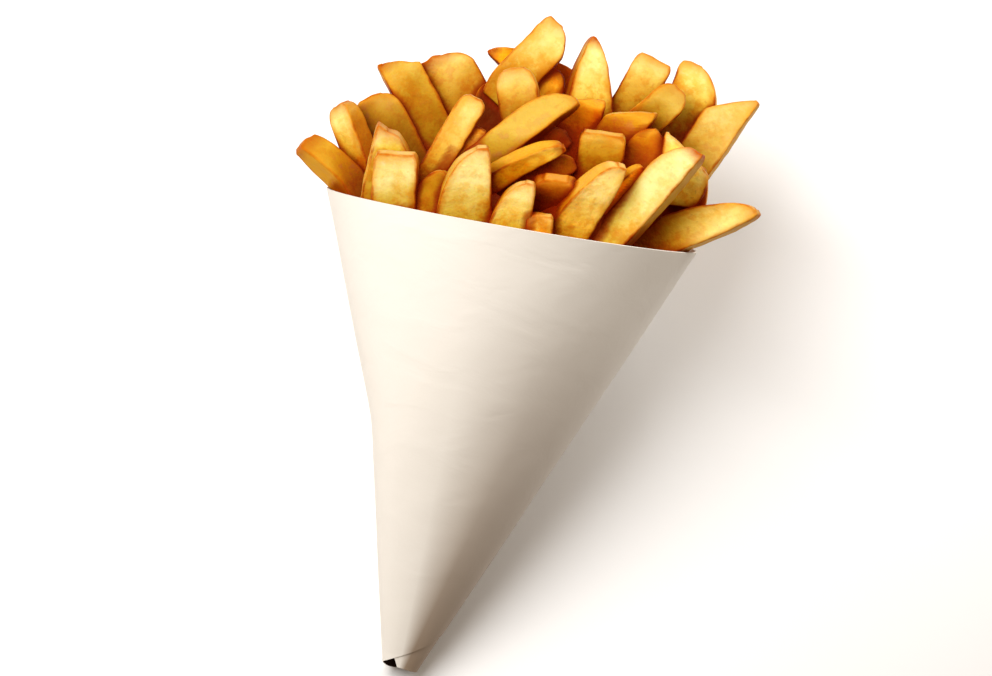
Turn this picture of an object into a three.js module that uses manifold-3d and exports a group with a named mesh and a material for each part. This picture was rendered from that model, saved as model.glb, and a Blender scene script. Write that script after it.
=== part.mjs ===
// A rolled paper cone of thick-cut fries, lying on its back with the shown side up.
//
// Two frames are used. The cone's own frame has its origin at the paper's tip, +Y up the axis to
// the mouth, +Z towards the side that shows and +X to the right of that side. The whole is then
// tipped until the flattened strip along the back of the paper lies on the plane z = 0, with the
// origin in the middle of that strip. Lengths are millimetres, angles in the tables are degrees.

import * as THREE from "three";
import { mergeVertices } from "three/addons/utils/BufferGeometryUtils.js";
import Module from "manifold-3d";

const wasm = await Module();
wasm.setup();

const DEG = Math.PI / 180;

// ---- The paper ----
const TIP_RADIUS = 6.6; // the open roll at the bottom
const RIM_RADIUS = 65.9; // at the height of the mouth's centre
const RIM_HEIGHT = 162.1; // along the axis, at the mouth's centre
const RIM_SLANT = 0.061; // the rim climbs to the right, in mm per mm across
const LAYER = 0.4; // one thickness of the sheet, drawn thicker than the real 0.3
const WALL = 2 * LAYER; // the sheet goes round about one and a half times
const BACK_FLAT = 0.965; // depth of the flattened back, as a share of the radius
const DENT_DEPTH = 7.2; // the crease pressed into the left side
const DENT_HEIGHT = 83.5;
const DENT_SPAN = 60; // degrees to each side of the left edge
const REST_ALONG = 120; // the origin's place on the strip, up from the tip

// Angles round the paper: 0 is the right, 90 the side that shows, 180 the left, 270 the back.
const SEAM_ANGLE = -60; // the outer edge of the sheet, at the back on the right
const FLAP_ANGLE = 100; // where the inner end of the sheet stops
const LEFT_ANGLE = 180; // where the slanting lower edge of the outer turn reaches the tip
const BACK_ANGLE = 270;
const EDGE_AT_RIGHT = 15.8; // height of that lower edge at the right
const EDGE_RISE = 0.137; // how fast it climbs from there to the seam, in mm per degree
const EDGE_BEND = 1.7; // how soon it drops from the right to the left
const FLAP_DROP = 0.9; // the inner turn ends this far below the tip
const EDGE_STEP = 0.15; // the least height of the ledge under the outer turn
const ANGLE_STEP = 6;

// ---- The picture's directions ----
// The cone leans to the right in the picture and the eye is a little above the mouth's plane.
const PICTURE_ROLL = 13.4;
const PICTURE_PITCH = -4;
const PICTURE_CENTRE = [1.7, 162.3, 0]; // the middle of the picture's mouth, in the cone's frame

// ---- The fries ----
const FRY_GAP = 0.4; // between the fries and the paper
const FRY_CLEARANCE = 1.2; // the fries' corners are held this far from the paper
const OUTSIDE_REACH = 90; // how far out the space below the rim is cleared of fries
const BLANK_ACROSS = 2;
const BLANK_ALONG = 7;
const TIP_CROWDING = 1.6; // crowds the cuts of a blank towards its tip
const FOOT_LENGTH = 10;
const FOOT_LOSS = 0.35; // share of the section lost at the very foot
const THINNING_LENGTH = 14;
const THINNING = 0.45; // share of the thickness lost at the very tip
const THINNING_BEND = 2.2;

// How a fry ends: the lengths cut from its left and right sides, the place and half width of what
// is left at the tip as shares of the half width, and how round the cuts are (1 is straight).
const SQUARE = { cut: [4, 4], peak: 0, blunt: 0.78, bend: 2 };
const ROUNDED = { cut: [9, 9], peak: 0, blunt: 0.35, bend: 2 };
const SLANT = { cut: [11, 3], peak: 0.5, blunt: 0.38, bend: 1.4 };
const BLADE = { cut: [24, 4], peak: 0.78, blunt: 0.12, bend: 1.8 };
const MITRE = { cut: [13, 1.5], peak: 0.86, blunt: 0.1, bend: 1.05 };
const POINT = { cut: [30, 30], peak: 0.05, blunt: 0.08, bend: 1.35 };

// One fry: where its tip is, to the right of, above and in front of the mouth's centre in the
// picture's directions, the way it leans (right, towards the eye, about its own length), its size
// across, along and through, its kind of end, -1 to mirror that end, and how far the cut is
// stretched.
const fry = (tip, lean, pitch, turn, size, end, mirror = 1, stretch = 1, bow = 0) => ({
  tip, lean, pitch, turn, size, end, mirror, stretch, bow,
});

const LEFT_SIDE = [
  fry([-72.6, 27.6, 10], -40, 0, 34, [10, 62, 8.5], SQUARE),
  fry([-60.1, 40.8, 3], -21, 0, -36, [9.5, 62, 8.5], ROUNDED, 1, 0.7),
  fry([-48.5, 43.5, -8], -26, 0, 8, [15, 60, 10], ROUNDED),
  fry([-47.6, 55.9, -12], -28, 0, 4, [14.2, 75, 10], MITRE, -1, 0.55),
  fry([-28.6, 57.3, -18], -30, 0, 0, [16.2, 70, 10], SLANT, -1, 0.8),
  fry([-12, 41.4, 28], 29, 4, 10, [9.4, 62, 9], ROUNDED, 1, 0.6, -1),
  fry([-11.6, 30.4, 24], 30, 0, 0, [8.5, 40, 8], SQUARE),
];

const FRONT_ROW = [
  fry([-43.3, 31.7, 34], 15, 20, 4, [15, 52, 9], BLADE, -1, 0.9),
  fry([-39.5, 21.7, 42], 2, 20, -4, [15.4, 52, 9], SQUARE),
  fry([-21, 14, 33], 44, 8, 0, [12, 36, 9], ROUNDED),
  fry([-9.8, 23.3, 50], -2, 20, 0, [19, 56, 9], BLADE, 1, 1.1),
  fry([6.6, 11.3, 52], 7, 20, 0, [14.5, 46, 8], BLADE, 1, 0.8),
  fry([9.3, -0.5, 50], 2, 20, 0, [7, 34, 7], SQUARE, 1, 0.6),
  fry([15, 13.4, 42], 6, 36, 0, [15, 48, 9], ROUNDED, 1, 0.5),
  fry([37.9, 17, 46], 31, 20, 4, [14.5, 56, 9], BLADE, 1, 1.2),
  fry([65.7, 21.6, 40], 41, 6, -14, [12.4, 78, 9], BLADE, 1, 0.7),
  fry([83.9, 0.9, 32], 62, 0, -10, [12.6, 66, 9], BLADE, 1, 1.3, -1),
];

const MIDDLE = [
  fry([23.6, 38.8, 28], 53, 3, -10, [13, 78, 11], BLADE, 1, 0.7, -1),
  fry([19.2, 23.9, 36], 58, 4, 38, [7.5, 54, 7], BLADE, 1, 0.9, -2),
  fry([20, 28.5, 16], 58, 0, 10, [12, 50, 9], SLANT),
  fry([21.9, 18.5, 28], 64, 0, 10, [10, 50, 9], SLANT),
  fry([31.5, 29.2, 28], 9, 18, 0, [16.2, 54, 9], SQUARE),
  fry([30.2, 41.5, 10], 18, 0, 10, [14, 60, 10], SLANT, -1, 0.8),
  fry([47.2, 36, 18], 36, 12, -6, [14, 66, 9], SLANT),
  fry([51.7, 28.8, 18], 44, 4, 0, [13, 56, 10], ROUNDED, 1, 0.8),
  fry([53.9, 29.5, 24], 6, 6, 0, [15, 52, 9], MITRE, -1),
  fry([64.7, 18.1, 16], 27, 8, 0, [15, 60, 10], SLANT, -1, 2.2),
  fry([46.3, 14.9, 34], 54, 0, 20, [9, 48, 9], SQUARE),
  fry([34.8, 5.8, 34], 30, 4, 20, [10, 42, 9], SQUARE),
];

const BACK_ROW = [
  fry([-9.3, 60.8, -24], -68, 0, 0, [11, 36, 9], POINT, 1, 0.5),
  fry([-5.6, 47.9, -14], 12, 0, 0, [13, 60, 10], ROUNDED),
  fry([0.5, 52.3, 12], -9, 4, -6, [14.2, 62, 9], ROUNDED),
  fry([15.7, 70, -8], 44, 0, 0, [14.4, 84, 10], SLANT, -1, 0.8),
  fry([14.5, 53.6, -16], 18, 0, 0, [13, 60, 9], ROUNDED),
  fry([28.6, 64.8, -4], 4, 0, 4, [17.5, 72, 10], POINT),
  fry([50.8, 56.8, -10], 29, 0, 0, [13.6, 78, 10], SQUARE),
  fry([59, 45.1, 4], 48, 0, 0, [12.5, 74, 9], ROUNDED, 1, 0.8),
  fry([63.9, 55.5, -12], 19, 0, -6, [15.6, 78, 10], SLANT, -1, 1.3),
  fry([86.4, 41.1, 0], 35, 0, -8, [13.6, 78, 10], MITRE),
];

// The fries behind and under those, which no picture shows, are spread by a rule.
const FILL_COUNT = 36;
const FILL_TURN = 137.5; // degrees from one to the next
const FILL_REACH = 54;
const FILL_BACKWARDS = 14; // the spread's centre lies behind the mouth's centre
const FILL_LOW = 19;
const FILL_RANGE = 15;
const FILL_SPLAY = 0.5; // degrees of lean for each mm off the middle
const FILL_SCATTER = 26;
const FILL_SIZE = [12.5, 60, 11];
const FILL_ENDS = [SQUARE, SLANT, ROUNDED, BLADE];

// The core that the fries are fused to, from its foot up to a low dome under the tips.
const CORE_INSET = 4;
const CORE_FOOT = 12;
const CORE_SHOULDER = 150;
const CORE_DOME = [[46, 158], [26, 166], [0, 170]];
const CORE_SIDES = 28;

// ---- Shared measures ----
const FLARE = (RIM_RADIUS - TIP_RADIUS) / RIM_HEIGHT;
const paperRadius = (height) => TIP_RADIUS + FLARE * height;
const backDepth = (height) => BACK_FLAT * paperRadius(height);
const rimHeightAt = (across) => RIM_HEIGHT + RIM_SLANT * across;
const backSlope = Math.atan(BACK_FLAT * FLARE);

const shownFromPicture = new THREE.Matrix4()
  .makeRotationX(PICTURE_PITCH * DEG)
  .multiply(new THREE.Matrix4().makeRotationZ(PICTURE_ROLL * DEG))
  .setPosition(...PICTURE_CENTRE);

// ---- Solids ----
function solidOf(geometry) {
  const bare = geometry.clone();
  bare.deleteAttribute("normal");
  bare.deleteAttribute("uv");
  const merged = mergeVertices(bare, 1e-4);
  return new wasm.Manifold(
    new wasm.Mesh({
      numProp: 3,
      vertProperties: new Float32Array(merged.attributes.position.array),
      triVerts: new Uint32Array(merged.index.array),
    }),
  );
}

function geometryOf(solid) {
  const mesh = solid.getMesh();
  const geometry = new THREE.BufferGeometry();
  geometry.setAttribute("position", new THREE.BufferAttribute(new Float32Array(mesh.vertProperties), 3));
  geometry.setIndex(new THREE.BufferAttribute(new Uint32Array(mesh.triVerts), 1));
  geometry.computeVertexNormals();
  return geometry;
}

function largestPiece(solid) {
  const pieces = solid.decompose();
  return pieces.reduce((best, piece) => (piece.volume() > best.volume() ? piece : best));
}

// ---- The paper's surfaces ----
function dentAt(angle, height) {
  const away = Math.abs(((angle - LEFT_ANGLE + 540) % 360) - 180);
  if (away >= DENT_SPAN || height <= 0 || height >= RIM_HEIGHT) {
    return 0;
  }
  const round = Math.cos((away / DENT_SPAN) * (Math.PI / 2)) ** 2;
  const along = height < DENT_HEIGHT
    ? height / DENT_HEIGHT
    : (RIM_HEIGHT - height) / (RIM_HEIGHT - DENT_HEIGHT);
  return DENT_DEPTH * round * along;
}

// A point of the wall, the given depth in from its outer face, and lifted above the strip.
function paperPoint(angle, height, depth, lift = depth) {
  const radius = paperRadius(height) - depth - dentAt(angle, height);
  const z = radius * Math.sin(angle * DEG);
  const x = radius * Math.cos(angle * DEG);
  return new THREE.Vector3(x, height, Math.max(z, lift - backDepth(height)));
}

// The slanting lower edge of the outer turn.
function outerEdge(angle) {
  if (angle < 0) {
    return EDGE_AT_RIGHT - EDGE_RISE * angle;
  }
  if (angle < LEFT_ANGLE) {
    return EDGE_AT_RIGHT * (1 - angle / LEFT_ANGLE) ** EDGE_BEND;
  }
  return 0;
}

// The lowest edge of all: the inner turn's where there is one, else the outer turn's.
function lowestEdge(angle) {
  if (angle < FLAP_ANGLE) {
    return -FLAP_DROP * Math.max(0, Math.cos(angle * DEG));
  }
  return outerEdge(angle) - EDGE_STEP;
}

const UP_THE_WALL = [0, 0.25, DENT_HEIGHT / RIM_HEIGHT, 0.76, 1];

// Angles round the wall, with a close pair at the seam and at the inner flap. The middle of the
// back is left out, so that the strip has whole faces there.
function wallAngles() {
  const angles = [];
  for (let angle = SEAM_ANGLE; angle < SEAM_ANGLE + 360; angle += ANGLE_STEP) {
    if (angle !== BACK_ANGLE) {
      angles.push(angle);
    }
  }
  angles.push(SEAM_ANGLE + 359.2, FLAP_ANGLE - 0.4, FLAP_ANGLE + 0.4);
  return angles.sort((a, b) => a - b);
}

// The section of the wall at one angle: up its outer face, over the rim and down its inner face.
function wallSection(angle) {
  const turned = (angle - SEAM_ANGLE) / 360;
  const outer = LAYER * turned;
  const edge = Math.max(outerEdge(angle), lowestEdge(angle) + EDGE_STEP);
  const rimX = RIM_RADIUS * Math.cos(angle * DEG);
  const heightAt = (share, foot) => foot + (rimHeightAt(rimX * share) - foot) * share;
  const section = [paperPoint(angle, lowestEdge(angle), LAYER), paperPoint(angle, edge, LAYER)];
  for (const share of UP_THE_WALL) {
    section.push(paperPoint(angle, heightAt(share, edge), outer, 0));
  }
  for (const share of [...UP_THE_WALL].reverse()) {
    section.push(paperPoint(angle, heightAt(share, lowestEdge(angle)), WALL));
  }
  return section;
}

// Bends a lathe's rings to the sections of a wall.
function wallFromSections(sections) {
  const closed = sections.map((section) => [...section, section[0]]);
  const outline = closed[0].map((point) => new THREE.Vector2(point.length(), point.y));
  const geometry = new THREE.LatheGeometry(outline, sections.length);
  const positions = geometry.attributes.position;
  for (let turn = 0; turn <= sections.length; turn += 1) {
    closed[turn % sections.length].forEach((point, step) => {
      positions.setXYZ(turn * outline.length + step, point.x, point.y, point.z);
    });
  }
  return geometry;
}

function makePaper() {
  return wallFromSections(wallAngles().reverse().map(wallSection));
}

// All the space that fries may not enter: the wall, the gap inside it and everything outside it
// below the rim.
function makeKeepOut() {
  const inside = WALL + FRY_GAP;
  const sections = wallAngles().reverse().map((angle) => {
    const rimX = RIM_RADIUS * Math.cos(angle * DEG);
    const top = rimHeightAt(rimX) + FRY_GAP;
    const outwards = new THREE.Vector3(Math.cos(angle * DEG), 0, Math.sin(angle * DEG));
    outwards.multiplyScalar(OUTSIDE_REACH);
    const innerFace = UP_THE_WALL.map((share) => paperPoint(angle, top * share, inside));
    const foot = innerFace[0].clone().add(outwards);
    const rim = innerFace[innerFace.length - 1].clone().add(outwards);
    return [foot, rim, ...innerFace.reverse()];
  });
  return wallFromSections(sections);
}

// ---- One fry ----
// How far a side has run in from full width, from 0 below the cut to 1 at the tip.
function cutShare(below, cut, bend) {
  const into = Math.min(Math.max(1 - below / cut, 0), 1);
  return 1 - (1 - into ** bend) ** (1 / bend);
}

// Turns a blank, two wide and deep and one long, into the fry, with its tip at the origin.
function shapeBlank(positions, { size, end, mirror, stretch, bow }) {
  const [wide, long, thick] = size;
  const peak = mirror * end.peak;
  const [leftLength, rightLength] = mirror > 0 ? end.cut : [...end.cut].reverse();
  for (let i = 0; i < positions.count; i += 1) {
    const across = positions.getX(i);
    const along = 1 - (0.5 - positions.getY(i)) ** TIP_CROWDING;
    const below = long * (1 - along);
    const leftCut = cutShare(below, leftLength * stretch, end.bend);
    const rightCut = cutShare(below, rightLength * stretch, end.bend);
    const left = -1 + (peak - end.blunt + 1) * leftCut;
    const right = 1 + (peak + end.blunt - 1) * rightCut;
    const foot = 1 - FOOT_LOSS * Math.max(0, 1 - (long - below) / FOOT_LENGTH) ** 2;
    const thinningLength = THINNING_LENGTH * Math.min(1, stretch);
    const thin = 1 - THINNING * Math.max(0, 1 - below / thinningLength) ** THINNING_BEND;
    const side = ((1 - across) / 2) * left + ((1 + across) / 2) * right;
    const x = (side * foot - peak) * (wide / 2) + bow * 4 * along * (1 - along);
    positions.setXYZ(i, x, -below, (positions.getZ(i) * thick * thin * foot) / 2);
  }
}

// How far a point of a fry stands out past the paper's inside; nothing above the rim.
function overrun(point) {
  if (point.y >= rimHeightAt(point.x)) {
    return 0;
  }
  const room = paperRadius(point.y) - WALL - FRY_CLEARANCE;
  return Math.max(0, Math.hypot(point.x, point.z) - room);
}

// Moves each ring of a fry straight in towards the axis by as much as it stands out, so that the
// foot bends inside the paper and keeps its section.
function bendIntoPaper(positions, rings) {
  for (const ring of rings) {
    const points = ring.map((i) => new THREE.Vector3().fromBufferAttribute(positions, i));
    const inwards = new THREE.Vector3();
    points.forEach((point) => inwards.sub(point));
    inwards.setY(0).normalize().multiplyScalar(Math.max(...points.map(overrun)));
    points.forEach((point, k) => positions.setXYZ(ring[k], ...point.add(inwards)));
  }
}

// The vertices of a blank at each of its cuts along the length.
function ringsOf(positions) {
  const rings = Array.from({ length: BLANK_ALONG + 1 }, () => []);
  for (let i = 0; i < positions.count; i += 1) {
    rings[Math.round((0.5 - positions.getY(i)) * BLANK_ALONG)].push(i);
  }
  return rings;
}

function placedFry(item) {
  const pose = new THREE.Object3D();
  pose.rotation.set(item.pitch * DEG, item.turn * DEG, -item.lean * DEG, "ZXY");
  pose.position.set(...item.tip);
  pose.updateMatrix();
  const geometry = new THREE.BoxGeometry(2, 1, 2, BLANK_ACROSS, BLANK_ALONG, 1);
  const rings = ringsOf(geometry.attributes.position);
  shapeBlank(geometry.attributes.position, item);
  geometry.applyMatrix4(pose.matrix).applyMatrix4(shownFromPicture);
  bendIntoPaper(geometry.attributes.position, rings);
  return solidOf(geometry);
}

// ---- The heap ----
// A repeatable draw between 0 and 1.
function draw(index, salt) {
  const wave = Math.sin(index * 12.9898 + salt * 78.233) * 43758.5453;
  return wave - Math.floor(wave);
}

function fillFry(index) {
  const angle = index * FILL_TURN * DEG;
  const reach = FILL_REACH * Math.sqrt((index + 0.5) / FILL_COUNT);
  const right = reach * Math.cos(angle);
  const near = reach * Math.sin(angle) - FILL_BACKWARDS;
  const up = FILL_LOW + FILL_RANGE * draw(index, 1) - right * 0.1;
  const lean = FILL_SPLAY * right + FILL_SCATTER * (draw(index, 2) - 0.5);
  const pitch = FILL_SPLAY * near + FILL_SCATTER * (draw(index, 3) - 0.5);
  const turn = 90 * draw(index, 4) - 45;
  const grow = 0.9 + 0.25 * draw(index, 5);
  const size = FILL_SIZE.map((measure) => measure * grow);
  const end = FILL_ENDS[index % FILL_ENDS.length];
  return fry([right, up, near], lean, pitch, turn, size, end, index % 2 ? 1 : -1, 0.9);
}

function makeCore() {
  const profile = [
    [0, CORE_FOOT],
    [paperRadius(CORE_FOOT) - CORE_INSET, CORE_FOOT],
    [paperRadius(CORE_SHOULDER) - CORE_INSET, CORE_SHOULDER],
    ...CORE_DOME,
  ];
  return new THREE.LatheGeometry(profile.map(([x, y]) => new THREE.Vector2(x, y)), CORE_SIDES);
}

function makeFries() {
  const shown = [...LEFT_SIDE, ...FRONT_ROW, ...MIDDLE, ...BACK_ROW];
  const fill = Array.from({ length: FILL_COUNT }, (_, index) => fillFry(index));
  let heap = solidOf(makeCore());
  for (const item of [...shown, ...fill]) {
    heap = heap.add(placedFry(item));
  }
  // Keeping only the largest piece also fills the hollows that the fries close between them.
  const filled = largestPiece(heap);
  return geometryOf(largestPiece(filled.subtract(solidOf(makeKeepOut()))));
}

// ---- The scene ----
const paperFinish = new THREE.MeshStandardMaterial({ color: 0xeee5d6, roughness: 0.82, metalness: 0 });
paperFinish.side = THREE.DoubleSide;
const fryFinish = new THREE.MeshStandardMaterial({ color: 0xe3a63c, roughness: 0.45, metalness: 0 });

const paper = new THREE.Mesh(makePaper(), paperFinish);
paper.name = "paper_cone";

const fries = new THREE.Mesh(makeFries(), fryFinish);
fries.name = "fries";

// Tipping the cone by the back's slope lays the strip flat. The group is then moved so that the
// chosen place on the strip becomes the origin.
const group = new THREE.Group();
group.rotation.x = backSlope;
const restPoint = new THREE.Vector3(0, REST_ALONG, -backDepth(REST_ALONG));
restPoint.applyEuler(group.rotation);
group.position.copy(restPoint).negate();
group.add(paper, fries);

export default group;
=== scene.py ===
"""A rolled paper cone of thick-cut fries, lying on its back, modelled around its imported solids."""

import math

import bpy
import numpy as np
from mathutils import Matrix, Vector, noise


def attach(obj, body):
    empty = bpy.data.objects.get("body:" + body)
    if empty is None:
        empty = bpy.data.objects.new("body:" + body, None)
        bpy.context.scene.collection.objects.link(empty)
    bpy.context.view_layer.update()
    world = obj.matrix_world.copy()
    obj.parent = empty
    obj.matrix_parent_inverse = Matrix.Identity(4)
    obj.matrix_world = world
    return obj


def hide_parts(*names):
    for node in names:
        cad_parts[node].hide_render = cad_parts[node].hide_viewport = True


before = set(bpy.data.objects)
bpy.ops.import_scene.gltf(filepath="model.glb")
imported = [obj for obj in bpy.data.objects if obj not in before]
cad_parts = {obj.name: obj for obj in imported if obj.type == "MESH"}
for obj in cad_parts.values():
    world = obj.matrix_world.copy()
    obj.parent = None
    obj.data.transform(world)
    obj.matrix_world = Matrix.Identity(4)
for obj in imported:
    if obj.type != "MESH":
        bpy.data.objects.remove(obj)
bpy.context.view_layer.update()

bl_info = {
    "name": "Paper Cone of Fries",
    "version": (1, 0, 0),
    "blender": (4, 5, 0),
    "location": "3D View > Sidebar > Fries",
    "description": "Models a rolled paper cone filled with thick-cut fries",
    "category": "Add Mesh",
}

MM = 0.001

# How a fry ends: the lengths cut from its left and right sides, the place and half width of what
# is left at the tip as shares of the half width, and how round the cuts are (1 is straight).
SQUARE = {"cut": (4, 4), "peak": 0, "blunt": 0.78, "bend": 2}
ROUNDED = {"cut": (9, 9), "peak": 0, "blunt": 0.35, "bend": 2}
SLANT = {"cut": (11, 3), "peak": 0.5, "blunt": 0.38, "bend": 1.4}
BLADE = {"cut": (24, 4), "peak": 0.78, "blunt": 0.12, "bend": 1.8}
MITRE = {"cut": (13, 1.5), "peak": 0.86, "blunt": 0.1, "bend": 1.05}
POINT = {"cut": (30, 30), "peak": 0.05, "blunt": 0.08, "bend": 1.35}


def fry(tip, lean, pitch, turn, size, end, tone, mirror=1, stretch=1, bow=0, browned=0.3, light=1):
    """One fry: its tip to the right of, above and in front of the mouth's centre in millimetres,
    its lean to the right, its pitch towards the eye and its turn about its own length in degrees,
    its size across, along and through, its end, its flesh, how that end is changed, how much its
    tip is browned and how light its flesh is. That lightness is set fry by fry, so besides the
    fry's own tone it holds painted light and painted shade."""
    return {
        "tip": np.array(tip) * MM, "size": np.array(size) * MM, "bow": bow * MM,
        "turned": (math.radians(lean), math.radians(pitch), math.radians(turn)),
        "end": end, "tone": tone, "mirror": mirror, "stretch": stretch, "browned": browned,
        "light": light,
    }


# Each fry's tone and light were set one by one to how it looks. Besides its own colour, they hold
# painted shade where a fry looks dark from shade, and painted light where a fry would otherwise lie too
# deep in shade.
LEFT_SIDE = [
    fry((-72.6, 27.6, 10), -40, 0, 34, (10, 62, 8.5), SQUARE, "orange", browned=0.8, light=0.84),
    fry((-60.1, 40.8, 3), -21, 0, -36, (9.5, 62, 8.5), ROUNDED, "pale", stretch=0.7,
        browned=0.5, light=1.02),
    fry((-50.2, 43.5, -8), -26, 0, 8, (18, 60, 10), ROUNDED, "tan", light=0.82),
    fry((-47.6, 55.9, -12), -28, 0, 4, (14.2, 75, 10), MITRE, "gold", mirror=-1,
        stretch=0.55, browned=1, light=0.81),
    fry((-29.6, 57.3, -18), -30, 0, 0, (18.2, 70, 10), SLANT, "yellow", mirror=-1,
        stretch=0.8, browned=0.8, light=0.9),
    fry((-12, 41.4, 28), 29, 4, 0, (9.8, 62, 8), ROUNDED, "yellow", stretch=0.5, bow=-1, light=0.97),
    fry((-11.6, 31.4, 25), 30, 0, 0, (9, 40, 8), SQUARE, "pale", light=1.4),
]

FRONT_ROW = [
    fry((-45, 31.7, 34), 12, 20, 4, (17, 52, 9), BLADE, "pale", mirror=-1, stretch=0.9, browned=0.6),
    fry((-39.5, 21.7, 42), 2, 20, -4, (15.4, 52, 9), SQUARE, "pale", light=0.91),
    fry((-21, 14, 37), 44, 8, 0, (12, 36, 9), ROUNDED, "gold", light=0.9),
    fry((-9.8, 23.3, 50), -2, 20, 0, (19, 56, 9), BLADE, "pale", stretch=1.1, light=0.93),
    fry((6.6, 11.3, 52), 7, 20, 0, (14.5, 46, 8), BLADE, "pale", stretch=0.8),
    fry((9.2, 0.4, 50), 2, 20, 0, (9.4, 34, 7), SQUARE, "pale", stretch=0.6, light=1.12),
    fry((15, 13.4, 42), 6, 36, 0, (15, 48, 9), ROUNDED, "brown", stretch=0.5, light=0.95),
    fry((37.9, 17, 46), 31, 20, 20, (14.5, 56, 9), BLADE, "yellow", stretch=1.2, light=1.16),
    fry((65.7, 21.6, 40), 41, 6, -14, (12.4, 78, 9), BLADE, "pale", stretch=0.7, browned=1, light=0.9),
    fry((85, 1.2, 30), 60, 18, -10, (13.6, 66, 9), BLADE, "yellow", stretch=1.2, bow=-1),
    fry((71, -6.6, 12), 62, 0, 0, (12, 50, 9), SLANT, "pale", mirror=-1, light=1.1),
]

MIDDLE = [
    fry((23.2, 39.4, 28), 51, 3, -10, (11.6, 78, 10), BLADE, "gold", stretch=0.7, bow=-1, light=0.8),
    fry((19.2, 23.9, 36), 58, 4, 30, (7.5, 54, 7), BLADE, "gold", stretch=0.9, bow=-2,
        browned=1, light=1.2),
    fry((20, 28.5, 16), 58, 0, 10, (12, 50, 9), SLANT, "orange", light=1.2),
    fry((21.9, 18.5, 28), 64, 0, 10, (10, 50, 9), SLANT, "orange"),
    fry((31.5, 29.2, 28), 9, 18, 0, (16.2, 54, 9), SQUARE, "gold", light=0.91),
    fry((31.5, 41.5, 10), 16, 0, 10, (15, 60, 10), MITRE, "orange", stretch=0.35, light=1.26),
    fry((49.8, 36.2, 18), 36, 12, -6, (14.5, 66, 9), MITRE, "orange", stretch=0.8),
    fry((51.7, 28.8, 18), 44, 4, 0, (13, 56, 10), ROUNDED, "orange", stretch=0.8),
    fry((53.9, 29.5, 20), 8, 6, 0, (17, 25, 9), MITRE, "pale", mirror=-1, light=1.15),
    fry((64.7, 18.1, 15), 27, 12, 0, (15, 60, 10), SLANT, "yellow", mirror=-1, stretch=2.2, light=1.14),
    fry((46.3, 14.9, 34), 54, 0, 20, (9, 48, 9), SQUARE, "orange", light=2.1),
    fry((34.8, 5.8, 34), 30, 4, 20, (10, 42, 9), SQUARE, "orange"),
    fry((20, 38.5, 4), 30, 0, 0, (14, 60, 9), ROUNDED, "orange"),
]

BACK_ROW = [
    fry((-9.3, 60.8, -24), -68, 0, 0, (11, 36, 9), POINT, "gold", stretch=0.5, browned=1, light=1.35),
    fry((-5.6, 47.9, -14), 12, 0, 0, (13, 60, 10), ROUNDED, "brown", light=0.7),
    fry((0.5, 52.3, 12), -9, 4, -6, (14.2, 62, 9), ROUNDED, "yellow", light=0.9),
    fry((15.7, 70, -8), 44, 0, 0, (14.4, 36, 10), SLANT, "yellow", mirror=-1, stretch=0.8, light=0.92),
    fry((14.5, 53.6, -10), 18, 0, 0, (13, 60, 9), ROUNDED, "yellow", light=1.2),
    fry((28.6, 64.8, -4), 4, 0, 10, (17.5, 72, 10), POINT, "pale", browned=1),
    fry((50.8, 56.8, -10), 29, 0, 0, (13.6, 78, 10), SQUARE, "yellow", light=0.9),
    fry((59, 45.1, 4), 48, 0, 0, (12.5, 74, 9), ROUNDED, "tan", stretch=0.8, light=0.86),
    fry((63.9, 55.5, -12), 19, 0, -6, (17, 78, 10), SLANT, "pale", mirror=-1, stretch=1.1),
    fry((86.4, 41.1, 0), 35, 0, -7, (14.8, 78, 10), MITRE, "yellow", light=0.85),
]

# The fries behind and under those are spread by a rule, in millimetres and degrees.
FILL_TURN = math.radians(137.5)
FILL_REACH = 57
FILL_BACKWARDS = 14
FILL_LOW = 19
FILL_RANGE = 15
FILL_FRONT = -30
FILL_FRONT_RANGE = 25
FILL_FRONT_DROP = 24
FILL_SPLAY = 0.5
FILL_SCATTER = 26
FILL_FALL = 0.1
FILL_TURNED = 90
FILL_SIZE = np.array((12.5, 60, 11))
FILL_SMALLEST = 0.9
FILL_GROWTH = 0.25
FILL_STRETCH = 0.9
FILL_ENDS = (ROUNDED, SLANT, BLADE, SLANT)
FILL_TONES = ("gold", "yellow", "orange", "tan", "gold")

# The sheet of paper. Angles run from its outer end, over the right, the shown side, the left and
# the back, and on under themselves to its inner end.
OUTER_END = -60
LEFT = 180
INNER_END = 460
SHEET_STEPS = 260
SHEET_ROWS = 96
EDGE_AT_RIGHT = 15.8 * MM
EDGE_RISE = 0.137 * MM
EDGE_BEND = 1.7
FLAP_DROP = 0.9 * MM
BACK_DROP = 1.9 * MM
INNER_SLANT = 25
INNER_SLANT_SHARE = 0.04

# The eye, to the right of, above and in front of the mouth's centre, and how much it takes in.
EYE = (-5.6 * MM, -41.8 * MM, 1.6)
VIEW_WIDTH = 347.2 * MM
SENSOR = 36

# A fry is bent in where it would come nearer than this to the paper's outside, and the bend
# spreads by a step at a time.
FRY_CLEARANCE = 1.9 * MM
BEND_SPREAD = 18
BEND_STEP = 0.2 * MM

# What makes a fry out of a straight baton: its foot and its tip thin out, its sides stray in long
# waves and short nicks, its browned tip is ragged, and its faces are lumpy.
FOOT_LENGTH = 10 * MM
FOOT_LOSS = 0.35
THINNING_LENGTH = 14 * MM
THINNING = 0.45
THINNING_BEND = 2.2
TIP_SOFTENED = 6 * MM
SOFTENED_SHARES = (0.03, 0.2)
WAVES = 0.45 * MM
WAVE_LENGTH = 15 * MM
NICKS = 0.16 * MM
NICK_LENGTH = 3.2 * MM
RAGS = 2.2 * MM
RAG_LENGTH = 3.6 * MM
RAG_REACH = 5 * MM
LUMP_LENGTH = 9 * MM
SMALL_LUMP_LENGTH = 3.6 * MM
SMALL_LUMPS = 0.45

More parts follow.
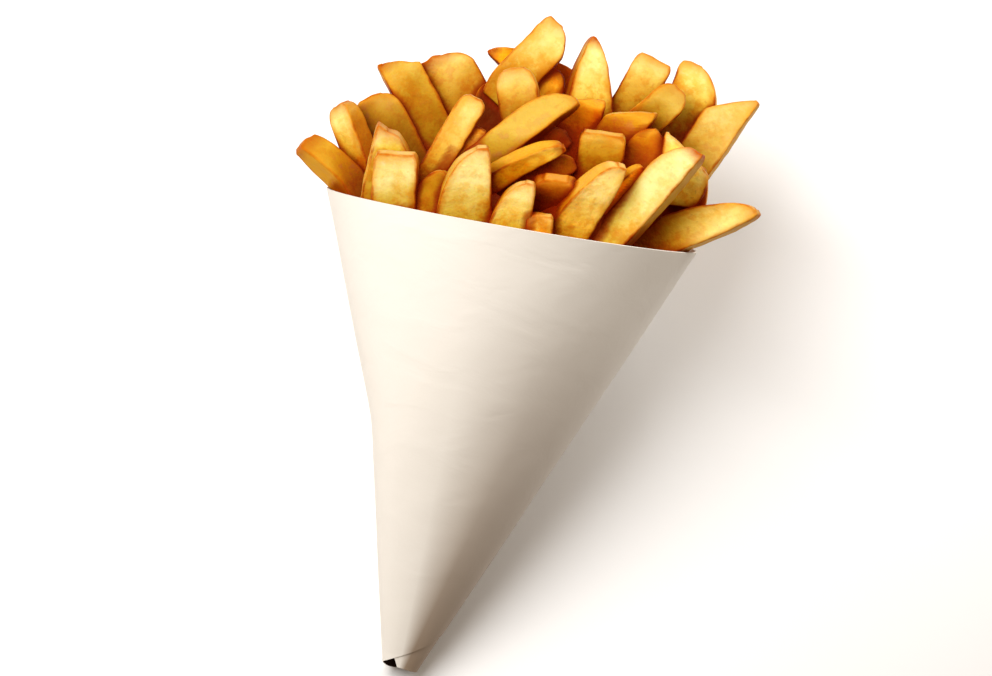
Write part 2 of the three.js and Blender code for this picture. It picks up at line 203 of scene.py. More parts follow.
# How far a fry's flesh differs from its tone in red, green and blue, and how far apart in the
# patterns and in the noise two fries lie.
VARIETY_BY_CHANNEL = np.array((0.4, 1, 2))
PATTERN_SHIFT = np.array((0.031, 0.017, 0))
NOISE_SHIFT = (7.31, -3.17, 5.77)
TINY = 1e-9

# The patterns of the finishes: scale, detail, roughness and distortion.
PATCHES = (95, 2.5, 0.5)
BLOTCHES = (330, 3.0, 0.55)
BREAKS = (150, 2.0, 0.5)
FINE = (700, 2.0, 0.5)
GRIT = (1500, 2.0, 0.5)
DIMPLES = (230, 2.5, 0.45)
PAPER_CLOUDS = (28, 3.0, 0.5)
PAPER_FIBRES = (2600, 3.0, 0.6)
PAPER_CRINKLES = (70, 4.0, 0.45, 0.6)

# Flesh times these is paler or riper.
PALER = (1.04, 1.14, 1.4)
RIPER = (0.95, 0.74, 0.4)

# A browned band and line run along each edge: their widths and how far they wander. Tips are
# browned between these two distances. All are in millimetres.
BAND_WIDTH = 2.6
BAND_WANDER = 5.0
LINE_WIDTH = 0.8
LINE_WANDER = 1.8
TIP_BROWNING = (0.5, 5.5)

# Between these two shares of touching, one fry is painted darker where another presses on it: painted
# contact shade.
PRESSED = (0.25, 0.9)

# The tints of the paper's clouds and fibres, and where its painted shade falls: towards its tip,
# in metres from the origin, and to its right, in radii.
CLOUD_TINT = (0.77, 0.725, 0.645)
FIBRE_TINT = (0.72, 0.64, 0.52)
DARKENED_ALONG = (-0.01, -0.13)
DARKENED_ACROSS = (-0.1, 0.7)


# ---- The panel's sizes and colours ----
def number(name, description, default, **more):
    """A number on the panel."""
    return bpy.props.FloatProperty(name=name, description=description, default=default, **more)


def length(name, description, default):
    """A length on the panel."""
    return number(name, description, default, min=0, unit="LENGTH", precision=4)


def share(name, description, default):
    """A share between 0 and 1 on the panel."""
    return number(name, description, default, min=0, max=1, subtype="FACTOR")


def colour(name, description, default):
    """A colour on the panel."""
    return bpy.props.FloatVectorProperty(
        name=name, description=description, default=default, size=3, min=0, max=1, subtype="COLOR",
    )


class PaperSettings(bpy.types.PropertyGroup):
    """Sizes and colours of the rolled sheet."""

    tip_radius: length("Tip radius", "Radius of the open roll at the bottom", 6.6 * MM)
    rim_radius: length("Rim radius", "Radius at the height of the mouth's centre", 65.9 * MM)
    rim_height: length("Rim height", "From the tip to the mouth's centre", 162.1 * MM)
    rim_slant: share("Rim slant", "How much the rim climbs to the right", 0.061)
    back_flat: share("Back", "Depth of the flattened back, as a share of the radius", 0.965)
    dent_depth: length("Dent", "Depth of the crease in the left side", 7.2 * MM)
    dent_height: length("Dent height", "From the tip to that crease", 83.5 * MM)
    thickness: length("Thickness", "Thickness of the sheet", 0.32 * MM)
    winding: length("Winding", "How far each turn lies inside the one over it", 0.4 * MM)
    rest_along: length("Rest", "From the tip to the origin, along the axis", 120 * MM)
    waviness: length("Waviness", "How far the sheet strays from a true cone", 0.5 * MM)
    face: colour("Paper", "Colour of the clean paper", (0.80, 0.755, 0.69))
    # Painted shade: the colour painted low on the paper's right, towards its tip.
    low_right_shade: colour("Shade", "Colour that the paper turns to low on its right", (0.32, 0.235, 0.165))
    # Painted shade: the near-black painted inside the tip's hollow.
    hollow_shade_tint: colour("Hollow_shade", "Colour of the soaked inside of the tip", (0.035, 0.014, 0.005))


class FrySettings(bpy.types.PropertyGroup):
    """Sizes and colours of the fries."""

    rounding: length("Rounding", "Radius of a fry's edges", 0.6 * MM)
    dish: length("Dish", "How far a fry's faces sink between its edges", 0.15 * MM)
    lumps: length("Lumps", "Height of the unevenness of a fry's surface", 0.24 * MM)
    fill_count: bpy.props.IntProperty(
        name="Filling", description="Number of fries behind and under the shown ones", default=48,
    )
    variety: share("Variety", "How much the flesh differs from fry to fry", 0.12)
    pale: colour("Pale", "Flesh of the palest fries", (0.80, 0.62, 0.20))
    yellow: colour("Yellow", "Flesh of the yellow fries", (0.77, 0.54, 0.14))
    gold: colour("Gold", "Flesh of the golden fries", (0.70, 0.44, 0.06))
    tan: colour("Tan", "Flesh of the duller fries", (0.60, 0.35, 0.045))
    orange: colour("Orange", "Flesh of the deeply fried ones", (0.60, 0.28, 0.014))
    brown: colour("Brown", "Flesh of the browned ones", (0.56, 0.23, 0.012))
    core: colour("Core", "Colour of the fresh-cut ends", (0.78, 0.58, 0.19))
    # The edges' colour is also painted in as contact shade where fries touch.
    edges: colour("Edges", "Colour of the fries' edges", (0.42, 0.105, 0.0))
    crust: colour("Crust", "Colour of the browned tips", (0.36, 0.06, 0.0015))
    # Painted shade: the colour and strength of the shade painted between the fries.
    crevice_shade: colour("Depths", "Colour far down between the fries", (0.24, 0.010, 0.0))
    crevice_shade_strength: number("Deepening", "How much deeper the colour is between the fries", 2.2)


class StageSettings(bpy.types.PropertyGroup):
    """The floor and the lights."""

    floor: colour("Floor", "Colour of the floor", (0.91, 0.91, 0.91))
    key_power: number("Key light", "Power of the large soft light", 6.0, unit="POWER")
    side_power: number("Side light", "Power of the weaker right light", 0.6, unit="POWER")
    key_tint: colour("Key tint", "Colour of the large soft light", (1.0, 0.99, 0.98))
    fill_power: number("Fill light", "Strength of the light from all round", 0.22)
    fill_tint: colour("Fill tint", "Colour of the light from all round", (1.0, 0.77, 0.53))


# ---- Shared shapes ----
class Cone:
    """The measures of the cone, in its own frame: +Y up its axis, +Z to the side that shows."""

    # How it is turned in the picture, and its mouth's centre, which places are counted from.
    ROLL = math.radians(13.4)
    PITCH = math.radians(-4)
    PICTURE_CENTRE = np.array((1.7, 162.3, 0)) * MM
    # The crease fades out over this many degrees to either side.
    DENT_SPREAD = 60

    def __init__(self, paper):
        self.paper = paper
        self.flare = (paper.rim_radius - paper.tip_radius) / paper.rim_height
        slope = math.atan(paper.back_flat * self.flare)
        self.tipping = np.array(Matrix.Rotation(slope, 3, "X"))
        self.rest = np.array((0, paper.rest_along, -self.back_depth(paper.rest_along)))
        pose = Matrix.Rotation(self.PITCH, 3, "X") @ Matrix.Rotation(self.ROLL, 3, "Z")
        self.picture = np.array(pose)

    def radius(self, height):
        return self.paper.tip_radius + self.flare * height

    def back_depth(self, height):
        return self.paper.back_flat * self.radius(height)

    def rim_height(self, across):
        return self.paper.rim_height + self.paper.rim_slant * across

    def dent(self, angle, height):
        """How far the crease is pressed in, at angles in degrees."""
        away = np.abs((angle - LEFT + 540) % 360 - 180)
        round_it = np.cos(np.minimum(away / self.DENT_SPREAD, 1) * math.pi / 2) ** 2
        low = height / self.paper.dent_height
        high = (self.paper.rim_height - height) / (self.paper.rim_height - self.paper.dent_height)
        return self.paper.dent_depth * round_it * np.clip(np.minimum(low, high), 0, 1)

    def from_picture(self, points):
        """Points given in the picture's directions, in the cone's own frame."""
        return points @ self.picture.T + self.PICTURE_CENTRE

    def laid_down(self, points):
        """Points of the cone's own frame, with the cone lying on its back."""
        return (points - self.rest) @ self.tipping.T

    def room(self, points):
        """How far points stand out past the space that the fries may fill."""
        x, height, z = points.T
        angle = np.degrees(np.arctan2(z, x))
        free = self.radius(height) - self.dent(angle, height) - FRY_CLEARANCE
        out = np.hypot(x, z) - free
        behind = -z - self.back_depth(height) + FRY_CLEARANCE
        return np.where(height < self.rim_height(x), np.maximum(np.maximum(out, behind), 0), 0)


def noise_at(points, wavelength, seed=0):
    """Smooth noise between about -1 and 1 at each point."""
    shift = Vector([seed * step for step in NOISE_SHIFT])
    return np.array([noise.noise(Vector(point) / wavelength + shift) for point in points])


def deselect():
    if bpy.context.object and bpy.context.object.mode != "OBJECT":
        bpy.ops.object.mode_set(mode="OBJECT")
    bpy.ops.object.select_all(action="DESELECT")


def read(items, field, width):
    """What each item of a mesh holds in a field, a row for each."""
    values = np.empty(len(items) * width)
    items.foreach_get(field, values)
    return values.reshape(-1, width)


def points_of(mesh):
    return read(mesh.vertices, "co", 3)


def set_points(mesh, points):
    mesh.vertices.foreach_set("co", points.flatten())
    mesh.update()


def normals_of(mesh):
    return read(mesh.vertex_normals, "vector", 3)


def keep(mesh, name, values):
    """Keeps a number or a vector as an attribute: each vertex's own, or one for them all."""
    values = np.asarray(values, dtype=float)
    count = len(mesh.vertices)
    if values.shape[-1:] == (3,):
        kept = mesh.attributes.new(name, "FLOAT_VECTOR", "POINT")
        kept.data.foreach_set("vector", np.broadcast_to(values, (count, 3)).flatten())
    else:
        kept = mesh.attributes.new(name, "FLOAT", "POINT")
        kept.data.foreach_set("value", np.broadcast_to(values, count).flatten())


def cut_along(axis, places):
    """Cuts the mesh in edit mode across an axis at each of the places."""
    normal = np.eye(3)[axis]
    for place in places:
        bpy.ops.mesh.select_all(action="SELECT")
        bpy.ops.mesh.bisect(plane_co=normal * place, plane_no=normal, threshold=1e-6)


# ---- Finishes ----
class Value:
    """A shader socket that takes part in sums."""

    def __init__(self, finish, socket):
        self.finish = finish
        self.socket = socket

    def math(self, operation, *others):
        numbers = dict(enumerate((self, *others)))
        return self.finish.node("ShaderNodeMath", {"operation": operation}, numbers)

    def __add__(self, other):
        return self.math("ADD", other)

    __radd__ = __add__

    def __mul__(self, other):
        return self.math("MULTIPLY", other)

    __rmul__ = __mul__

    def __sub__(self, other):
        return self.math("SUBTRACT", other)

    def __rsub__(self, other):
        return (self * -1) + other

    def __truediv__(self, other):
        return self.math("DIVIDE", other)

    def clear(self):
        """Kept between 0 and 1."""
        return self.math("MAXIMUM", 0.0).math("MINIMUM", 1.0)

    def between(self, low, high):
        """0 at low and 1 at high, or the other way round where low is the higher."""
        return ((self - low) / (high - low)).clear()


class Finish:
    """One material and its nodes."""

    def __init__(self, name):
        self.material = bpy.data.materials.new(name)
        self.material.use_nodes = True
        self.nodes = self.material.node_tree.nodes
        self.links = self.material.node_tree.links
        self.nodes.clear()

    def node(self, kind, settings=None, sockets=None, output=0):
        """One node: its settings are made first, then its sockets get values or links."""
        made = self.nodes.new(kind)
        for name, value in (settings or {}).items():
            setattr(made, name, value)
        for name, value in (sockets or {}).items():
            if isinstance(value, Value):
                self.links.new(value.socket, made.inputs[name])
            else:
                made.inputs[name].default_value = value
        return Value(self, made.outputs[output]) if made.outputs else None

    def attribute(self, name, output="Fac"):
        return self.node("ShaderNodeAttribute", {"attribute_name": name}, output=output)

    def noise(self, vector, scale, detail, roughness, distortion=0.0):
        sockets = {
            "Vector": vector, "Scale": scale, "Detail": detail, "Roughness": roughness,
            "Distortion": distortion,
        }
        return self.node("ShaderNodeTexNoise", sockets=sockets)

    def stretched(self, vector, factors):
        return self.node(
            "ShaderNodeVectorMath", {"operation": "MULTIPLY"}, {0: vector, 1: factors},
        )

    def mix(self, factor, first, second):
        """Two colours mixed."""
        sockets = {0: factor, 6: opaque(first), 7: opaque(second)}
        return self.node("ShaderNodeMix", {"data_type": "RGBA"}, sockets, output=2)

    def gamma(self, tint, power):
        """A colour raised to a power: over 1 it is deeper, and under 1 it is paler."""
        return self.node("ShaderNodeGamma", sockets={"Color": tint, "Gamma": power})

    def bump(self, height, strength, distance, normal=None):
        sockets = {"Height": height, "Strength": strength, "Distance": distance}
        if normal:
            sockets["Normal"] = normal
        return self.node("ShaderNodeBump", sockets=sockets)

    def surface(self, sockets):
        shader = self.node("ShaderNodeBsdfPrincipled", sockets=sockets)
        self.node("ShaderNodeOutputMaterial", sockets={"Surface": shader})
        return self.material


def opaque(tint):
    """A plain colour with its alpha; a socket as it is."""
    return tint if isinstance(tint, Value) else (*tint, 1.0)


def fried_finish(fries):
    """Fried potato: each fry's own flesh, mottled, with browned edges and a soft oily shine, and
    painted shade on its side faces, where fries touch and deep between them.
    """
    finish = Finish("fried_flesh")
    own = finish.attribute("own_place", "Vector")
    flesh = finish.attribute("flesh", "Vector")
    edge = finish.attribute("edge_distance") / MM
    below = finish.attribute("below_tip") / MM
    side_on, end_on, browned_tip, nook, touching = [
        finish.attribute(name) for name in ("side_on", "end_on", "browned", "nook", "touching")
    ]

    long_grain = finish.stretched(own, (1.0, 0.45, 1.0))
    patches = finish.noise(long_grain, *PATCHES)
    blotches = finish.noise(own, *BLOTCHES)
    breaks = finish.noise(own, *BREAKS).between(0.36, 0.6)
    fine = finish.noise(own, *FINE)
    grit = finish.noise(own, *GRIT)

    paler = finish.stretched(flesh, PALER)
    riper = finish.stretched(flesh, RIPER)
    mottled = flesh
    for pattern, low, high, strength, tint in (
        (patches, 0.46, 0.60, 0.75, paler),
        (patches, 0.46, 0.32, 0.75, riper),
        (blotches, 0.50, 0.62, 0.5, riper),
        (blotches, 0.46, 0.36, 0.5, paler),
        (fine, 0.54, 0.68, 0.4, paler),
    ):
        mottled = finish.mix(pattern.between(low, high) * strength, mottled, tint)
    band = 1 - (edge + (patches - 0.5) * BAND_WANDER).between(0.0, BAND_WIDTH)
    line = 1 - (edge + (blotches - 0.5) * LINE_WANDER).between(0.0, LINE_WIDTH)
    tip = 1 - (below + (blotches - 0.5) * BAND_WANDER).between(*TIP_BROWNING)
    # The flesh is browned, and painted shade is laid on its side faces and where fries touch.
    browned = mottled
    for covered, tint in (
        # Painted shade on the side faces, where they turn from the light, with some browning.
        (side_on.between(0.35, 0.8) * 0.85, fries.orange),
        (end_on.between(0.5, 0.85) * 0.25, fries.core),
        (band * 0.62, fries.orange),
        (tip * browned_tip, fries.crust),
        (line * (0.4 + 0.55 * breaks), fries.edges),
        (fine.between(0.62, 0.72) * 0.15, fries.crust),
        # Painted contact shade: the edges' colour where another fry presses.
        (touching.between(*PRESSED) * 0.5, fries.edges),
    ):
        browned = finish.mix(covered, browned, tint[:])
    # Painted shade: the flesh deepens with how hidden each spot is among the fries, and turns to the
    # crevice shade where fries touch and far down between them.
    flesh_with_painted_shade = finish.gamma(browned, 1 + nook.between(0.24, 0.8) * fries.crevice_shade_strength)
    flesh_with_painted_shade = finish.mix(touching.between(*PRESSED) * 0.4, flesh_with_painted_shade, fries.crevice_shade[:])
    flesh_with_painted_shade = finish.mix(nook.between(0.66, 0.88) * 0.9, flesh_with_painted_shade, fries.crevice_shade[:])

    relief = None
    for height, strength, distance in (
        (finish.noise(own, *DIMPLES), 0.45, 0.9),
        (blotches, 0.5, 0.5),
        (fine, 0.55, 0.35),
        (grit, 0.2, 0.15),
    ):
        relief = finish.bump(height, strength, distance * MM, relief)
    open_face = edge.between(0.6, 1.6) * side_on.between(0.6, 0.3) * nook.between(0.6, 0.35)
    return finish.surface({
        "Base Color": flesh_with_painted_shade,
        "Roughness": 0.5 + 0.2 * blotches,
        "Specular IOR Level": 0.16,
        "Specular Tint": (1.0, 0.62, 0.16, 1.0),
        "Coat Weight": blotches.between(0.52, 0.64) * open_face * 0.12,
        "Coat Roughness": 0.24,
        "Subsurface Weight": 0.35,
        "Subsurface Radius": (1.0, 0.36, 0.08),
        "Subsurface Scale": 2.4 * MM,
        "Normal": relief,
    })


def paper_finish(paper):
    """Uncoated cream paper, with faint fibres and crinkles, and with painted shade inside its tip's
    hollow and low on its right.
    """
    finish = Finish("cream_paper")
    place = finish.node("ShaderNodeTexCoord", output="Object")
    soaked = finish.attribute("soaked")
    across = finish.node("ShaderNodeSeparateXYZ", sockets={0: place}, output=0)
    along = finish.node("ShaderNodeSeparateXYZ", sockets={0: place}, output=1)
    cone = Cone(paper)
    rightward = across / (along * cone.flare + cone.radius(paper.rest_along))
    # Painted shade: darker towards the tip and to the right.
    low_right_shade_share = along.between(*DARKENED_ALONG) * rightward.between(*DARKENED_ACROSS)
    cloud = finish.noise(place, *PAPER_CLOUDS)
    fibre = finish.noise(finish.stretched(place, (1.0, 0.3, 1.0)), *PAPER_FIBRES)
    crinkle = finish.noise(finish.stretched(place, (0.6, 1.4, 1.0)), *PAPER_CRINKLES)
    tinted = finish.mix(cloud.between(0.35, 0.7) * 0.3, paper.face[:], CLOUD_TINT)
    tinted = finish.mix(fibre.between(0.45, 0.75) * 0.12, tinted, FIBRE_TINT)
    tinted = finish.mix(low_right_shade_share, tinted, paper.low_right_shade[:])
    # Painted shade inside the tip's hollow.
    tinted = finish.mix(soaked, tinted, paper.hollow_shade_tint[:])
    relief = finish.bump(crinkle, 0.4, 0.9 * MM)
    relief = finish.bump(fibre, 0.15, 0.05 * MM, relief)
    return finish.surface({
        "Base Color": tinted,
        "Roughness": 0.72 + 0.1 * fibre,
        "Specular IOR Level": 0.3,
        "Normal": relief,
    })


# ---- Fries ----
def cut_share(below, cut, bend):
    """How far a side has run in from full width, from 0 below the cut to 1 at the tip."""
    into = np.clip(1 - below / cut, 0, 1)
    return 1 - (1 - into ** bend) ** (1 / bend)


def strayed(line, seed):
    """How far a fry's side strays from straight along a line."""
    return WAVES * noise_at(line, WAVE_LENGTH, seed) + NICKS * noise_at(line, NICK_LENGTH, seed)


class Blank:
    """A straight baton with rounded edges, its tip at the origin, that every fry is shaped from."""

    # Its cuts crowd to the tip over a share of its length, and its edges are rounded by at most a
    # share of its width and of half its thickness.
    SIZE = np.array((14, 60, 10)) * MM
    TIP_SHARE = 0.7
    CROWDING = 1.35
    ROUGH_CUTS = 6
    BEVELS = 4
    WIDE_ROUNDING = 0.42
    THICK_ROUNDING = 0.8
    TIP_SPREAD = 0.6
    DISH_START = 6
    SIDE_DISH = 0.5

    def __init__(self, rounding, cuts):
        self.rounding = rounding
        self.mesh = self.model(cuts)
        points = points_of(self.mesh)
        half = self.SIZE / 2 - rounding
        middle = np.array((0, -self.SIZE[1] / 2, 0))
        inner = np.clip(points - middle, -half, half)
        self.out = (points - middle - inner) / rounding
        self.out /= np.maximum(np.linalg.norm(self.out, axis=1), TINY)[:, None]
        self.across, along, self.through = (inner / half).T
        self.down = (1 - along) / 2
        self.rings = np.unique(np.round(self.down, 5), return_inverse=True)[1]

    def model(self, cuts):
        """The baton as a net: a cube, bevelled all over and cut across in three directions."""
        deselect()
        across, along, through = self.SIZE
        bpy.ops.mesh.primitive_cube_add(size=1, location=(0, -along / 2, 0))
        baton = bpy.context.object
        baton.scale = self.SIZE
        bpy.ops.object.transform_apply(location=True, rotation=False, scale=True)
        bpy.ops.object.mode_set(mode="EDIT")
        bpy.ops.mesh.select_all(action="SELECT")
        bpy.ops.mesh.bevel(offset=self.rounding, segments=self.BEVELS, profile=0.5)
        wide, long, deep = cuts
        tip = self.rounding
        fine_end = tip + self.TIP_SHARE * (along - 2 * tip)
        fine = tip + (fine_end - tip) * np.linspace(0, 1, long + 1)[1:] ** self.CROWDING
        rough = np.linspace(fine_end, along - tip, self.ROUGH_CUTS)[1:-1]
        cut_along(0, np.linspace(tip - across / 2, across / 2 - tip, wide + 1)[1:-1])
        cut_along(1, [*-fine, *-rough])
        cut_along(2, np.linspace(tip - through / 2, through / 2 - tip, deep + 1)[1:-1])
        bpy.ops.object.mode_set(mode="OBJECT")
        mesh = baton.data
        bpy.data.objects.remove(baton)
        return mesh

    def shaped(self, item, seed, dish):
        """The blank's points as one fry's, with the distance of each from an edge."""
        wide, long, thick = item["size"]
        end = item["end"]
        stretch = item["stretch"]
        mirror = item["mirror"]
        peak = mirror * end["peak"]
        left_length, right_length = end["cut"][::mirror]

        def outline(below):
            """Left and right sides and half thickness, below the tip."""
            left = cut_share(below, left_length * MM * stretch, end["bend"])
            right = cut_share(below, right_length * MM * stretch, end["bend"])
            left = -1 + (peak - end["blunt"] + 1) * left
            right = 1 + (peak + end["blunt"] - 1) * right
            foot = 1 - FOOT_LOSS * np.maximum(0, 1 - (long - below) / FOOT_LENGTH) ** 2
            thinning = THINNING_LENGTH * min(1, stretch)
            thin = 1 - THINNING * np.maximum(0, 1 - below / thinning) ** THINNING_BEND
            return left * foot * wide / 2, right * foot * wide / 2, thick * thin * foot / 2

        def rounding_at(sides):
            left, right, half = sides
            most = np.minimum(self.WIDE_ROUNDING * (right - left), self.THICK_ROUNDING * half)
            return np.minimum(self.rounding, most)

        tip_round = rounding_at(outline(np.zeros(1)))[0]
        below = tip_round + self.down * (long - tip_round - self.rounding)
        sides = outline(below - self.TIP_SPREAD * tip_round * np.exp(1 - below / tip_round))
        left, right, half = sides
        rounding = rounding_at(sides)
        line = np.column_stack((below, below * 0, below * 0))
        left = left + rounding + strayed(line, seed)
        right = right - rounding + strayed(line, seed + 20)
        half = half - rounding
        deep = np.clip(self.down * self.DISH_START, 0, 1)
        sunk = dish * (1 - self.across ** 2) * deep
        pinched = self.SIDE_DISH * dish * (1 - self.through ** 2) * deep
        x = left + (right - left) * (self.across + 1) / 2 + self.out[:, 0] * rounding
        x -= pinched * self.across
        z = self.through * (half - sunk) + self.out[:, 2] * rounding
        along = 1 - below / long
        x += item["bow"] * 4 * along * (1 - along) - peak * wide / 2
        over = np.column_stack((x, x * 0, x * 0))
        rags = RAGS * item["browned"] * (0.5 + noise_at(over, RAG_LENGTH, seed + 40))
        y = self.out[:, 1] * rounding - below - rags * np.exp(-below / RAG_REACH)

        to_side = (1 - np.abs(self.across)) * (right - left) / 2
        to_face = (1 - np.abs(self.through)) * half
        reach = np.column_stack((to_side, self.down * long, to_face))
        reach += rounding[:, None] * np.arccos(np.clip(np.abs(self.out), 0, 1))
        edge = np.sort(reach, axis=1)[:, 1] - rounding * math.pi / 4
        return np.column_stack((x, y, z)), edge, below


def posed(points, item, cone):
    """A fry's points, leaned, pitched and turned, at its place in the cone's own frame."""
    lean, pitch, turn = item["turned"]
    pose = Matrix.Rotation(-lean, 3, "Z") @ Matrix.Rotation(pitch, 3, "X")
    pose = pose @ Matrix.Rotation(turn, 3, "Y")
    return cone.from_picture(points @ np.array(pose).T + item["tip"])


def rounded_off(mesh, points, weight, rounds=10):
    """Points moved towards the middle of their neighbours by a share of the way, again and again."""
    ends = np.empty(len(mesh.edges) * 2, dtype=np.int32)
    mesh.edges.foreach_get("vertices", ends)
    first, second = ends.reshape(-1, 2).T
    count = np.bincount(ends, minlength=len(points))[:, None]
    for _ in range(rounds):
        total = np.zeros_like(points)
        np.add.at(total, first, points[second])
        np.add.at(total, second, points[first])
        points = points + (total / count - points) * weight[:, None]
    return points


def bent_into_paper(points, rings, cone):
    """Each ring of a fry moved straight in towards the axis by as much as it stands out."""
    count = rings.max() + 1
    out = np.zeros(count)
    np.maximum.at(out, rings, cone.room(points))
    for _ in range(BEND_SPREAD):
        near = np.maximum(np.append(out[1:], 0), np.append(0, out[:-1]))
        out = np.maximum(out, near - BEND_STEP)
    centre = np.zeros((count, 2))
    np.add.at(centre, rings, points[:, [0, 2]])
    centre /= np.maximum(np.linalg.norm(centre, axis=1), TINY)[:, None]
    moved = points.copy()
    moved[:, [0, 2]] -= (centre * out[:, None])[rings]
    return moved


def make_fry(item, seed, blank, cone, fries):
    """One fry as its own object, laid down with the cone."""
    mesh = blank.mesh.copy()
    local, edge, below = blank.shaped(item, seed, fries.dish)
    local = rounded_off(mesh, local, np.clip(1 - below / TIP_SOFTENED, *SOFTENED_SHARES))
    set_points(mesh, local)
    facing = normals_of(mesh)
    lumps = noise_at(local, LUMP_LENGTH, seed)
    lumps += SMALL_LUMPS * noise_at(local, SMALL_LUMP_LENGTH, seed + 50)
    local = local + facing * (lumps * fries.lumps)[:, None]
    placed = bent_into_paper(posed(local, item, cone), blank.rings, cone)
    set_points(mesh, cone.laid_down(placed))
    # The flesh is its tone, varied at random and scaled by the fry's light, which holds painted light
    # and painted shade.
    ripeness = 1 + fries.variety * (draw(seed, 6) - 0.5) * VARIETY_BY_CHANNEL
    for name, values in {
        "own_place": local + seed * PATTERN_SHIFT,
        "edge_distance": edge,
        "below_tip": below,
        "side_on": np.abs(facing[:, 0]),
        "end_on": np.maximum(facing[:, 1], 0),
        "browned": item["browned"],
        "fry_number": seed,
        "nook": 0,
        "touching": 0,
        "flesh": getattr(fries, item["tone"])[:] * (ripeness * item["light"]),
    }.items():
        keep(mesh, name, values)
    single = bpy.data.objects.new("fry", mesh)
    bpy.context.scene.collection.objects.link(single)
    return single


def join_fries(name, singles):
    """All fries of a group as one piece, with smooth faces."""
    deselect()
    for single in singles:
        single.select_set(True)
    bpy.context.view_layer.objects.active = singles[0]
    bpy.ops.object.join()
    piece = bpy.context.object
    piece.name = name
    bpy.ops.object.shade_smooth()
    return piece


def finish_piece(piece, material, node):
    """Gives a piece its finish and its place in the frame."""
    piece.data.materials.clear()
    piece.data.materials.append(material)
    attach(piece, "root")
    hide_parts(node)


def finish_fries(piece, fries):
    """Gives a piece of the heap the finish that all its pieces share."""
    material = bpy.data.materials.get("fried_flesh") or fried_finish(fries)
    finish_piece(piece, material, "fries")


def draw(index, salt):
    """A repeatable draw between 0 and 1."""
    wave = math.sin(index * 12.9898 + salt * 78.233) * 43758.5453
    return wave - math.floor(wave)


def fill_fry(index, count):
    """One of the fries behind and under the shown ones."""
    angle = index * FILL_TURN
    reach = FILL_REACH * math.sqrt((index + 0.5) / count)
    right = reach * math.cos(angle)
    near = reach * math.sin(angle) - FILL_BACKWARDS
    up = FILL_LOW + FILL_RANGE * draw(index, 1) - right * FILL_FALL
    up -= FILL_FRONT_DROP * min(max((near - FILL_FRONT) / FILL_FRONT_RANGE, 0), 1)
    lean = FILL_SPLAY * right + FILL_SCATTER * (draw(index, 2) - 0.5)
    pitch = FILL_SPLAY * near + FILL_SCATTER * (draw(index, 3) - 0.5)
    turn = FILL_TURNED * (draw(index, 4) - 0.5)
    size = FILL_SIZE * (FILL_SMALLEST + FILL_GROWTH * draw(index, 5))
    end = FILL_ENDS[index % len(FILL_ENDS)]
    tone = FILL_TONES[index % len(FILL_TONES)]
    mirror = 1 if index % 2 else -1
    return fry((right, up, near), lean, pitch, turn, size, end, tone, mirror, FILL_STRETCH)


# ---- Operators ----
class FriesOperator:
    """What the operators for the groups of fries share."""

    bl_options = {"REGISTER", "UNDO"}
    cuts = (12, 46, 8)

    def rows(self):
        return self.shown

    def execute(self, context):
        fries = context.scene.cone_fries
        cone = Cone(context.scene.cone_paper)
        blank = Blank(fries.rounding, self.cuts)
        piece = join_fries(self.piece_name, [
            make_fry(item, self.seed + count, blank, cone, fries)
            for count, item in enumerate(self.rows())
        ])
        finish_fries(piece, fries)
        return {"FINISHED"}


class MESH_OT_left_fries(FriesOperator, bpy.types.Operator):
    """Model the fries that lean out over the left of the rim"""

    bl_idname = "mesh.left_fries"
    bl_label = "Left Fries"
    piece_name = "left_fries"
    seed = 1
    shown = LEFT_SIDE


class MESH_OT_front_fries(FriesOperator, bpy.types.Operator):
    """Model the fries that stand along the front of the rim"""

    bl_idname = "mesh.front_fries"
    bl_label = "Front Fries"
    piece_name = "front_fries"
    seed = 11
    shown = FRONT_ROW


class MESH_OT_middle_fries(FriesOperator, bpy.types.Operator):
    """Model the fries in the middle of the heap"""

    bl_idname = "mesh.middle_fries"
    bl_label = "Middle Fries"
    piece_name = "middle_fries"
    seed = 25
    shown = MIDDLE


class MESH_OT_back_fries(FriesOperator, bpy.types.Operator):
    """Model the tall fries at the top of the heap"""

    bl_idname = "mesh.back_fries"
    bl_label = "Back Fries"
    piece_name = "back_fries"
    seed = 41
    shown = BACK_ROW


class MESH_OT_filling_fries(FriesOperator, bpy.types.Operator):
    """Model the fries behind and under the shown ones"""

    bl_idname = "mesh.filling_fries"
    bl_label = "Filling Fries"
    piece_name = "filling_fries"
    seed = 60
    cuts = (7, 26, 5)

    def rows(self):
        count = bpy.context.scene.cone_fries.fill_count
        return [fill_fry(index, count) for index in range(count)]


